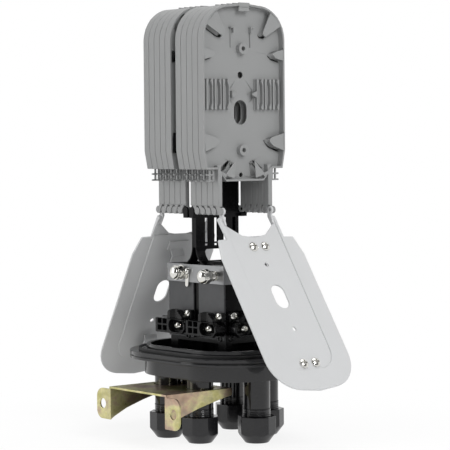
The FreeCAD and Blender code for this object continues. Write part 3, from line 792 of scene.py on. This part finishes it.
def holder_master():
    """The two splice holders of a tray, whose back face is at Y 0."""
    places = [(side * (CHANNEL_X + CHANNEL_PITCH * i), 0.0, HOLDER_Z)
              for side in (-1, 1) for i in range(CHANNELS)]
    rows = repeated(channel_part(), places, "holder")
    plates = [block(side * HOLDER_NEAR, side * HOLDER_FAR, -FLOOR - HOLDER_T, -FLOOR, HOLDER_Z - HOLDER_HALF,
                    HOLDER_Z + HOLDER_HALF) for side in (-1, 1)]
    return weighted(joined([rows] + plates))


def spread_out(master, prefix, look):
    """One copy of a tray group's piece for each tray, front and rear."""
    for side in SIDES:
        for i in range(TRAYS_PER_SIDE):
            node = f"{prefix}_{side}_{i + 1}"
            place = on_side(side, shift(0, -STACK_START - PITCH * i, 0))
            hand_over(copied(master, node, place), node, look)
    bpy.data.objects.remove(master)


def cover_outline():
    """Outline of a cover: two arms, neck, flared shoulders and a rounded far end."""
    w = COVER_HALF
    end = COVER_LENGTH
    right = [(15.0, 25.5), (ARM_IN, 14.0, 4.0), (ARM_IN, 5.0), (NECK_HALF, 5.0), (NECK_HALF, NECK_LONG - 0.5),
             (w - 5.0, NECK_LONG), (w, NECK_LONG + 20.0), (w, end - 6.0, 34.0)]
    return [(0.0, NECK_LONG - 1.5)] + right + [(0.0, end)] + mirrored(right[::-1])


def field_outline(inset, top):
    """Outline of the pressed field, which carries the neck on down the middle of a cover."""
    half = NECK_HALF - 2.0 - inset
    end = SCREW_DOWN + FIELD_PAST - inset
    return [(half, top), (half - 1.0, end, 20.0), (-half + 1.0, end, 20.0), (-half, top)]


def cover_master():
    """One cover as it is when shut: hinge line at the origin, sheet on the -Y side, length along Z."""
    near = -COVER_OFFSET
    far = near - SHEET
    cover = prism(cover_outline(), "y", far, near, 9)
    added = [prism(field_outline(0.0, FIELD_TOP), "y", far - PRESS, far + 0.3, 9)]
    hollow = [prism(field_outline(PRESS, 8.0), "y", near - PRESS, near + 1.0, 9)]
    web = [(near, 14.0), (-1.0, 3.5), (0, 0), (-3.0, -2.1), (far - 2.0, 4.0), (far - 1.6, 14.0)]
    wing = [(near, NECK_LONG + 2.0), (near, 5.0), (far - 2.0, 5.0), (far - 0.4, NECK_LONG + 2.0)]
    bores = [slot("y", 0, COVER_SLOT, SLOT_WIDE, SLOT_LONG, far - 5, near + 5)]
    for z in (COVER_SLOT - HOLE_AWAY, COVER_SLOT + HOLE_AWAY):
        bores.append(rod("y", 0, z, far - 5, near + 5, HOLE_R))
    for side in (-1, 1):
        added.append(rod("x", 0, 0, side * ARM_IN, side * ARM_OUTER, EYE_R))
        added.append(prism(web, "x", side * ARM_IN, side * ARM_OUTER))
        added.append(prism(wing, "x", side * (NECK_HALF - 2.4), side * NECK_HALF))
        bores.append(rod("x", 0, 0, side * (ARM_IN - 1), side * (ARM_OUTER + 0.4), PIN_BORE_R))
    combined(cover, hollow, "DIFFERENCE")
    combined(cover, added, "UNION")
    combined(cover, bores, "DIFFERENCE")
    return rounded_edges(cover, sizes().cover_edge)


def hung(side):
    """Matrix that swings a shut cover to its hanging place."""
    swing = Matrix.Rotation(math.radians(180.0 - HANG[side]), 4, "X")
    return on_side(side, shift(0, -HINGE_Y, HINGE_Z) @ swing)


def cover_heads(side):
    """Places of the four screw heads in a cover's pressed field."""
    place = hung(side)
    facing = (place.to_3x3() @ Vector((0.0, 1.0, 0.0))).normalized()
    level = -COVER_OFFSET - PRESS
    return [(place @ (Vector((x, level, z)) * MM), facing, *COVER_HEAD)
            for z in (SCREW_UP, SCREW_DOWN) for x in (-SCREW_X, SCREW_X)]


def clamp_places():
    """The six clamps' places as matrices: two on each long face of the box, one, mirrored, on each short."""
    places = []
    half = CLAMP_W / 2.0
    for quarter in (0, 180):
        for y in (CLAMP_GAP, -CLAMP_GAP - CLAMP_W):
            places.append(Matrix.Rotation(math.radians(quarter), 4, "Z") @ shift(-BOX_X, y, 0))
    for quarter in (90, 270):
        flip = shift(0, half, 0) @ Matrix.Scale(-1.0, 4, (0.0, 1.0, 0.0)) @ shift(0, -half, 0)
        places.append(Matrix.Rotation(math.radians(quarter), 4, "Z") @ shift(-BOX_Y, -half, 0) @ flip)
    return places


def clamp_body():
    """Clamp block against X 0: four square pockets, a long round-ended recess and one cable loop."""
    face = -CLAMP_DEEP
    body = prism([(CLAMP_W, CLAMP_LOW, 1.0), (CLAMP_W, CLAMP_TOP, 1.0), (5.0, CLAMP_TOP, 3.0),
                  (0, CLAMP_TOP - 5.0, 2.0), (0, CLAMP_LOW + 5.0, 2.0), (5.0, CLAMP_LOW, 3.0)], "x", face, 0)
    low = RECESS_Z - RECESS_HALF
    high = RECESS_Z + RECESS_HALF
    hollow = [prism([(2.0, low, 5.5), (25.5, low, 6.3), (25.5, high, 6.3), (2.0, high, 5.5)], "x", face - 1,
                    face + RECESS_DEEP)]
    for y in (CLAMP_W - 10.1, CLAMP_W - 18.4):
        for z in (CLAMP_LOW + 2.2, CLAMP_LOW + 8.9):
            hollow.append(block(face - 1, face + 7.0, y, y + 6.5, z, z + 5.0))
    combined(body, hollow, "DIFFERENCE")
    link = prism([(-5.6, CLAMP_LOW - 0.6), (7.0, CLAMP_LOW - 0.6), (7.0, CLAMP_LOW + 2.0),
                  (-3.0, CLAMP_LOW + 2.0, 2.0)], "x", face + 2.0, face + 4.2)
    combined(body, [link, rod("x", LOOP_Y, LOOP_Z, face + 2.0, face + 4.2, 3.0)], "UNION")
    return combined(body, [rod("x", LOOP_Y, LOOP_Z, face + 1.0, face + 5.0, 1.7)], "DIFFERENCE")


def clamp_jaw():
    """Arched saddle on a clamp block, hollowed upright for the cable, with a boss for its screw."""
    z = CLAMP_TOP
    high = z + 9.5
    saddle = prism([(28.5, z), (28.5, high - 2.0, 2.5), (23.0, high, 3.0), (14.0, high - 0.6, 4.0),
                    (5.5, z + 2.0, 1.0), (5.5, z)], "x", -CLAMP_DEEP + 1.0, -5.5)
    combined(saddle, [rod("z", -CLAMP_DEEP - 0.5, 18.5, z - 1, high + 5, 6.0)], "DIFFERENCE")
    boss = prism([(0.5, z), (0.5, z + 9.3, 2.5), (12.0, z + 9.3, 2.5), (12.0, z)], "x", BOSS_X, -0.5)
    return combined(saddle, [boss], "UNION")


def clamp_heads():
    """Screw heads of all clamps: one in each recess and one on each boss."""
    heads = []
    for place in clamp_places():
        out = (place.to_3x3() @ Vector((-1.0, 0.0, 0.0))).normalized()
        recess = place @ (Vector((-CLAMP_DEEP + RECESS_DEEP, 14.0, RECESS_Z)) * MM)
        boss = place @ (Vector((BOSS_X, 5.0, CLAMP_TOP + 5.4)) * MM)
        heads += [(recess, out, *RECESS_HEAD), (boss, out, *BOSS_HEAD)]
    return heads


def six_of(master, node):
    """Round a clamp's piece, copy it to the six clamps and hand the copies over as one object."""
    rounded_edges(master, sizes().block_edge)
    copies = [copied(master, node, place) for place in clamp_places()]
    bpy.data.objects.remove(master)
    hand_over(joined(copies, True), node, "clamp")


def nut_ring(y, z, flats, x0, x1, turn):
    """Hexagon nut whose corners are chamfered by a cone from both sides."""
    radius = flats / math.sqrt(3.0)
    nut = prism(ring_of(6, y, z, radius, turn), "x", x0, x1)
    end = flats * 0.47
    profile = [(x0, 0.0), (x0, end), (x0 + 0.9, radius), (x1 - 0.9, radius), (x1, end), (x1, 0.0)]
    return combined(nut, [turned_part(profile, "x", y, z)], "INTERSECT")


def turned_part(profile, axis, p, q, steps=48, closed=False):
    """Part turned on a lathe; its profile is (level, radius), from axis to axis or closed in a ring."""
    bm = bmesh.new()
    rings = []
    for level, radius in profile:
        spots = ring_of(steps if radius else 1, p, q, radius)
        rings.append([bm.verts.new(at(axis, *spot, level)) for spot in spots])
    if closed:
        rings.append(rings[0])
    for one, two in zip(rings, rings[1:]):
        for i in range(steps):
            k = (i + 1) % steps
            corners = [one[i % len(one)], one[k % len(one)], two[k % len(two)], two[i % len(two)]]
            bm.faces.new(list(dict.fromkeys(corners)))
    bmesh.ops.recalc_face_normals(bm, faces=bm.faces[:])
    return to_object("turned", bm)


def round_part(y, z, near, far, radius):
    """Round disc or shank between two levels in front of the strap."""
    return turned_part([(near, 0.0), (near, radius), (far, radius), (far, 0.0)], "x", y, z)


def dome_part(y, z, foot, radius, height):
    """Smooth domed cap that stands out towards -X from its foot."""
    rim = 0.35
    steps = 8
    profile = [(foot, 0.0), (foot, radius), (foot - height * rim, radius)]
    for k in range(1, steps + 1):
        angle = math.pi / 2.0 * k / steps
        level = foot - height * (rim + (1.0 - rim) * math.sin(angle))
        profile.append((level, radius * math.cos(angle) if k < steps else 0.0))
    return turned_part(profile, "x", y, z)


def earth_studs():
    """Two studs that stand out of the strap: washers, hexagon nut and domed cap on a shank."""
    wall = -BOX_X - STRAP_T
    y, z = STUDS[0]
    parts = [round_part(y, z, wall, wall - 8.0, 3.2), round_part(y, z, wall, wall - 1.4, 7.5),
             nut_ring(y, z, 13.0, wall - 6.5, wall - 1.4, 0.0), round_part(y, z, wall - 6.5, wall - 8.6, 7.2),
             dome_part(y, z, wall - 8.6, 6.4, 4.6)]
    y, z = STUDS[1]
    parts += [round_part(y, z, wall, wall - 16.0, 3.4), round_part(y, z, wall, wall - 3.6, 5.0),
              round_part(y, z, wall - 5.2, wall - 8.6, 5.2),
              nut_ring(y, z, 12.5, wall - 15.0, wall - 10.0, 0.3),
              round_part(y, z, wall - 15.0, wall - 16.6, 7.0), dome_part(y, z, wall - 16.6, 6.6, 6.0)]
    return rounded_edges(joined(parts), STUD_EDGE)


def strap_heads():
    """Screw heads of the strap, on its four sides."""
    wall = BOX_X + STRAP_T
    end = BOX_Y + STRAP_T
    spots = [((-wall - 1.2, 10.7, 165.6), (-1.0, 0.0, 0.0)), ((-wall, -18.5, 160.0), (-1.0, 0.0, 0.0))]
    for x in (-12.0, 12.0):
        spots += [((x, -end, STRAP_MID), (0.0, -1.0, 0.0)), ((x, end, STRAP_MID), (0.0, 1.0, 0.0))]
    for y in (-20.0, 20.0):
        spots.append(((wall, y, STRAP_MID), (1.0, 0.0, 0.0)))
    return [(Vector(spot) * MM, Vector(facing), *STRAP_HEAD) for spot, facing in spots]


def strap_tab():
    """Bent tab that hangs under the strap's middle screw."""
    z = STRAP_MID
    wall = -BOX_X - STRAP_T
    tab = [(7.6, z + 5.0, 2.0), (13.6, z + 5.0, 2.0), (14.2, z - 13.6, 2.0), (9.8, z - 13.6, 2.0)]
    return rounded_edges(prism(tab, "x", wall - 1.2, wall), SOFT_EDGE)


def thread_part():
    """Thread of one port around the Z axis: a thin ring whose outside follows a helix and ends plain."""
    rise = THREAD_HIGH - THREAD_LOW
    outside = [(THREAD_LOW + rise * k / THREAD_ROWS, THREAD_OUTER_R) for k in range(THREAD_ROWS + 1)]
    inside = [(THREAD_HIGH, THREAD_INNER_R), (THREAD_LOW, THREAD_INNER_R)]
    part = turned_part(outside + inside, "z", 0, 0, THREAD_STEPS, True)
    for vertex in part.data.vertices:
        x, y, z = vertex.co
        radius = math.hypot(x, y)
        if radius > THREAD_SKIN_R * MM and z < THREAD_TOP * MM:
            phase = (math.atan2(y, x) / (2.0 * math.pi) + z / sizes().thread_pitch) % 1.0
            share = 1.0 - 2.0 * THREAD_DEPTH * MM * abs(phase - 0.5) / radius
            vertex.co = (x * share, y * share, z)
    return part


class CLOSURE_OT_base(bpy.types.Operator):
    """Make the glossy base with its threaded ports, and its seal"""

    bl_idname = "closure.base"
    bl_label = "Base"

    def execute(self, context):
        piece = rounded_edges(merged("base"), BASE_EDGE)
        threads = weighted(repeated(thread_part(), [(x, y, 0.0) for x, y in PORTS], "gloss"))
        hand_over(joined([piece, threads]), "base", "gloss")
        dress("dome_seal", "rubber", SOFT_EDGE)
        return {"FINISHED"}


class CLOSURE_OT_glands(bpy.types.Operator):
    """Make the gland nuts with their seals and rings"""

    bl_idname = "closure.glands"
    bl_label = "Glands"

    def execute(self, context):
        for i in range(len(PORTS)):
            dress(f"gland_nut_{i + 1}", "nylon", sizes().nut_edge, NUT_SEGMENTS)
        dress("gland_seals", "rubber", SOFT_EDGE)
        dress("pressure_rings", "nylon", THIN_EDGE)
        return {"FINISHED"}


class CLOSURE_OT_bracket(bpy.types.Operator):
    """Make the wall bracket and its bolts"""

    bl_idname = "closure.bracket"
    bl_label = "Wall bracket"

    def execute(self, context):
        dress("wall_bracket", "zinc", sizes().metal_edge)
        dress("bracket_bolts", "zinc", sizes().metal_edge)
        return {"FINISHED"}


class CLOSURE_OT_frame(bpy.types.Operator):
    """Make the frame plates, the lower box and the strap around it"""

    bl_idname = "closure.frame"
    bl_label = "Frame"

    def execute(self, context):
        for side in SIDES:
            dress("frame_plate_" + side, "frame_paint", sizes().metal_edge)
        dress("lower_box", "frame_paint", sizes().block_edge)
        dress("side_panels", "panel", sizes().block_edge)
        dress("strap", "steel", THIN_EDGE)
        hand_over(earth_studs(), "earth_studs", "nickel")
        hand_over(strap_tab(), "strap_fasteners", "nickel", "strap_tab")
        cross_heads("strap_fasteners", strap_heads())
        return {"FINISHED"}


class CLOSURE_OT_clamps(bpy.types.Operator):
    """Make the six cable clamps with their saddles and screws"""

    bl_idname = "closure.clamps"
    bl_label = "Cable clamps"

    def execute(self, context):
        six_of(clamp_body(), "clamp_bodies")
        six_of(clamp_jaw(), "clamp_jaws")
        cross_heads("clamp_screws", clamp_heads())
        return {"FINISHED"}


class CLOSURE_OT_trays(bpy.types.Operator):
    """Make the ten splice trays and their holders"""

    bl_idname = "closure.trays"
    bl_label = "Splice trays"

    def execute(self, context):
        spread_out(tray_master(), "tray", "tray")
        spread_out(holder_master(), "holders", "holder")
        return {"FINISHED"}


class CLOSURE_OT_covers(bpy.types.Operator):
    """Make the covers with their clips and screws"""

    bl_idname = "closure.covers"
    bl_label = "Covers"

    def execute(self, context):
        cover = cover_master()
        for side in SIDES:
            hand_over(copied(cover, "cover", hung(side)), "cover_" + side, "cover")
            dress("clips_" + side, "cover", CLIP_EDGE)
            cross_heads("cover_screws_" + side, cover_heads(side))
        bpy.data.objects.remove(cover)
        return {"FINISHED"}


# Light of the world: its strength for plain surfaces, and for reflections that look towards the camera.
AMBIENT = 0.4
MIRROR_DARK = 0.12
TO_CAMERA = (-0.63, -0.77, 0.0)
MATT = 0.9
FLOOR_DROP = 0.4

# Camera: sizes named PX in pixels of the photo, its place and far clip in metres, angles in degrees.
FOCAL_PX = 2000.0
PHOTO_PX = 450.0
SENSOR_MM = 36.0
CLIP_FAR = 50.0
CAMERA_AT = Vector((-1.2586, -1.5543, 0.3023))
CAMERA_AZIMUTH = -39.0
HORIZON_PX = 134.0
AXIS_PX = 215.4
ROLL_DEG = -0.487

# Lamps: name, place, target, width and height in metres, power in watts.
LAMPS = (
    ("key", (-0.2, -2.3, 1.7), (0.0, 0.0, 0.22), 1.2, 1.2, 36.0),
    ("side", (-1.9, 1.0, 0.8), (0.0, 0.0, 0.2), 0.9, 1.6, 16.0),
    ("top", (0.2, 0.1, 2.2), (0.0, 0.0, 0.2), 1.4, 1.4, 12.0),
    ("spot", (-0.95, -1.75, 0.75), (0.0, 0.0, 0.15), 0.12, 0.12, 3.0),
)


def aim_camera():
    """Camera at the photo's distance, height and angle, turned so that the closure lies as it does there."""
    centre = PHOTO_PX / 2.0
    data = bpy.data.cameras.new("camera")
    data.sensor_width = SENSOR_MM
    data.lens = FOCAL_PX / PHOTO_PX * SENSOR_MM
    data.clip_end = CLIP_FAR
    camera = linked("camera", data)
    down = math.atan((centre - HORIZON_PX) / FOCAL_PX)
    aside = math.atan((centre - AXIS_PX) / FOCAL_PX)
    heading = math.radians(CAMERA_AZIMUTH) - aside
    turn = Matrix.Rotation(heading, 4, "Z")
    tip = Matrix.Rotation(math.pi / 2.0 - down, 4, "X")
    roll = Matrix.Rotation(math.radians(ROLL_DEG), 4, "Z")
    camera.matrix_world = Matrix.Translation(CAMERA_AT) @ turn @ tip @ roll
    bpy.context.scene.camera = camera


def area_lamp(name, place, target, width, height, power):
    """Soft box that points at the target."""
    data = bpy.data.lights.new(name, "AREA")
    data.shape = "RECTANGLE"
    data.size = width
    data.size_y = height
    data.energy = power
    lamp = linked(name, data)
    way = Vector(target) - Vector(place)
    turn = way.to_track_quat("-Z", "Y").to_matrix().to_4x4()
    lamp.matrix_world = Matrix.Translation(Vector(place)) @ turn


EYE = [
    ("path", "ShaderNodeLightPath", {}, {}),
    ("eye", MATH, "MAXIMUM", ("@path.Is Camera Ray", "@path.Is Transmission Ray")),
]


def white_world():
    """White to the eye; reflections find it white behind the closure and darker towards the camera."""
    world = bpy.data.worlds.new("studio")
    world.use_nodes = True
    bpy.context.scene.world = world
    tree = world.node_tree
    back = tree.nodes["Background"]
    known = network(tree, {}, EYE + [
        ("way", "ShaderNodeTexCoord", {}, {}),
        ("side", VECTOR, "DOT_PRODUCT", ("@way.Generated", TO_CAMERA)),
        ("mirror", RANGE, {"interpolation_type": "SMOOTHSTEP"}, {"Value": "@side.Value",
         "From Min": -0.15, "From Max": 0.5, "To Min": 1.0, "To Max": MIRROR_DARK}),
        ("soft", MIX, {}, {0: "@path.Is Glossy Ray", 2: AMBIENT, 3: "@mirror"}),
        ("all", MIX, {}, {0: "@eye", 2: "@soft", 3: 1.0}),
    ])
    back.inputs["Color"].default_value = colours().backdrop
    tree.links.new(known["all"][0], back.inputs["Strength"])


def floor_material():
    """White paper: it takes the shadow close to the closure and runs out into the white backdrop."""
    made, tree, shader, known = new_material("paper_white")
    shader.inputs["Base Color"].default_value = colours().backdrop
    shader.inputs["Roughness"].default_value = MATT
    shader.inputs["Specular IOR Level"].default_value = 0.0
    network(tree, known, EYE + [
        ("seen", MATH, "MAXIMUM", ("@eye", "@path.Is Glossy Ray")),
        ("glow", "ShaderNodeEmission", {}, {"Color": colours().backdrop, "Strength": 1.0}),
        ("far", VECTOR, "LENGTH", ("@place.Object",)),
        ("fade", RANGE, {"interpolation_type": "SMOOTHSTEP"},
         {"Value": "@far.Value", "From Min": 0.12, "From Max": 0.4, "To Min": 0.86, "To Max": 1.0}),
        ("share", MATH, "MULTIPLY", ("@fade", "@seen")),
        ("mix", "ShaderNodeMixShader", {}, {0: "@share", 2: "@glow"}),
    ])
    mix = known["mix"][0].node
    tree.links.new(shader.outputs[0], mix.inputs[1])
    tree.links.new(mix.outputs[0], tree.nodes["Material Output"].inputs["Surface"])
    return made


class CLOSURE_OT_stage(bpy.types.Operator):
    """Make the floor, the lamps, the surroundings and the camera"""

    bl_idname = "closure.stage"
    bl_label = "Stage"

    def execute(self, context):
        bm = bmesh.new()
        bmesh.ops.create_grid(bm, x_segments=1, y_segments=1, size=sizes().floor)
        bmesh.ops.translate(bm, verts=bm.verts[:], vec=(0.0, 0.0, -FLOOR_DROP * MM))
        floor = to_object("floor", bm)
        floor.data.materials.append(floor_material())
        white_world()
        for lamp in LAMPS:
            area_lamp(*lamp)
        context.scene.view_settings.view_transform = "Standard"
        aim_camera()
        return {"FINISHED"}


OPERATORS = (CLOSURE_OT_stage, CLOSURE_OT_base, CLOSURE_OT_glands, CLOSURE_OT_bracket, CLOSURE_OT_frame,
             CLOSURE_OT_clamps, CLOSURE_OT_trays, CLOSURE_OT_covers)


class CLOSURE_PT_panel(bpy.types.Panel):
    """Sidebar panel that lists the sizes, the colours and the operators"""

    bl_idname = "CLOSURE_PT_panel"
    bl_label = "Splice closure"
    bl_space_type = "VIEW_3D"
    bl_region_type = "UI"
    bl_category = "Closure"

    def draw(self, context):
        for group in (context.scene.closure_sizes, context.scene.closure_colours):
            column = self.layout.column()
            for name in group.bl_rna.properties.keys():
                if name not in ("rna_type", "name"):
                    column.prop(group, name)
        for operator in OPERATORS:
            self.layout.operator(operator.bl_idname)


CLASSES = (ClosureSizes, ClosureColours, *OPERATORS, CLOSURE_PT_panel)


def register():
    for item in CLASSES:
        bpy.utils.register_class(item)
    bpy.types.Scene.closure_sizes = bpy.props.PointerProperty(type=ClosureSizes)
    bpy.types.Scene.closure_colours = bpy.props.PointerProperty(type=ClosureColours)


def unregister():
    del bpy.types.Scene.closure_colours
    del bpy.types.Scene.closure_sizes
    for item in reversed(CLASSES):
        bpy.utils.unregister_class(item)


def main():
    register()
    for operator in OPERATORS:
        group, name = operator.bl_idname.split(".")
        getattr(getattr(bpy.ops, group), name)()


if __name__ == "__main__":
    main()
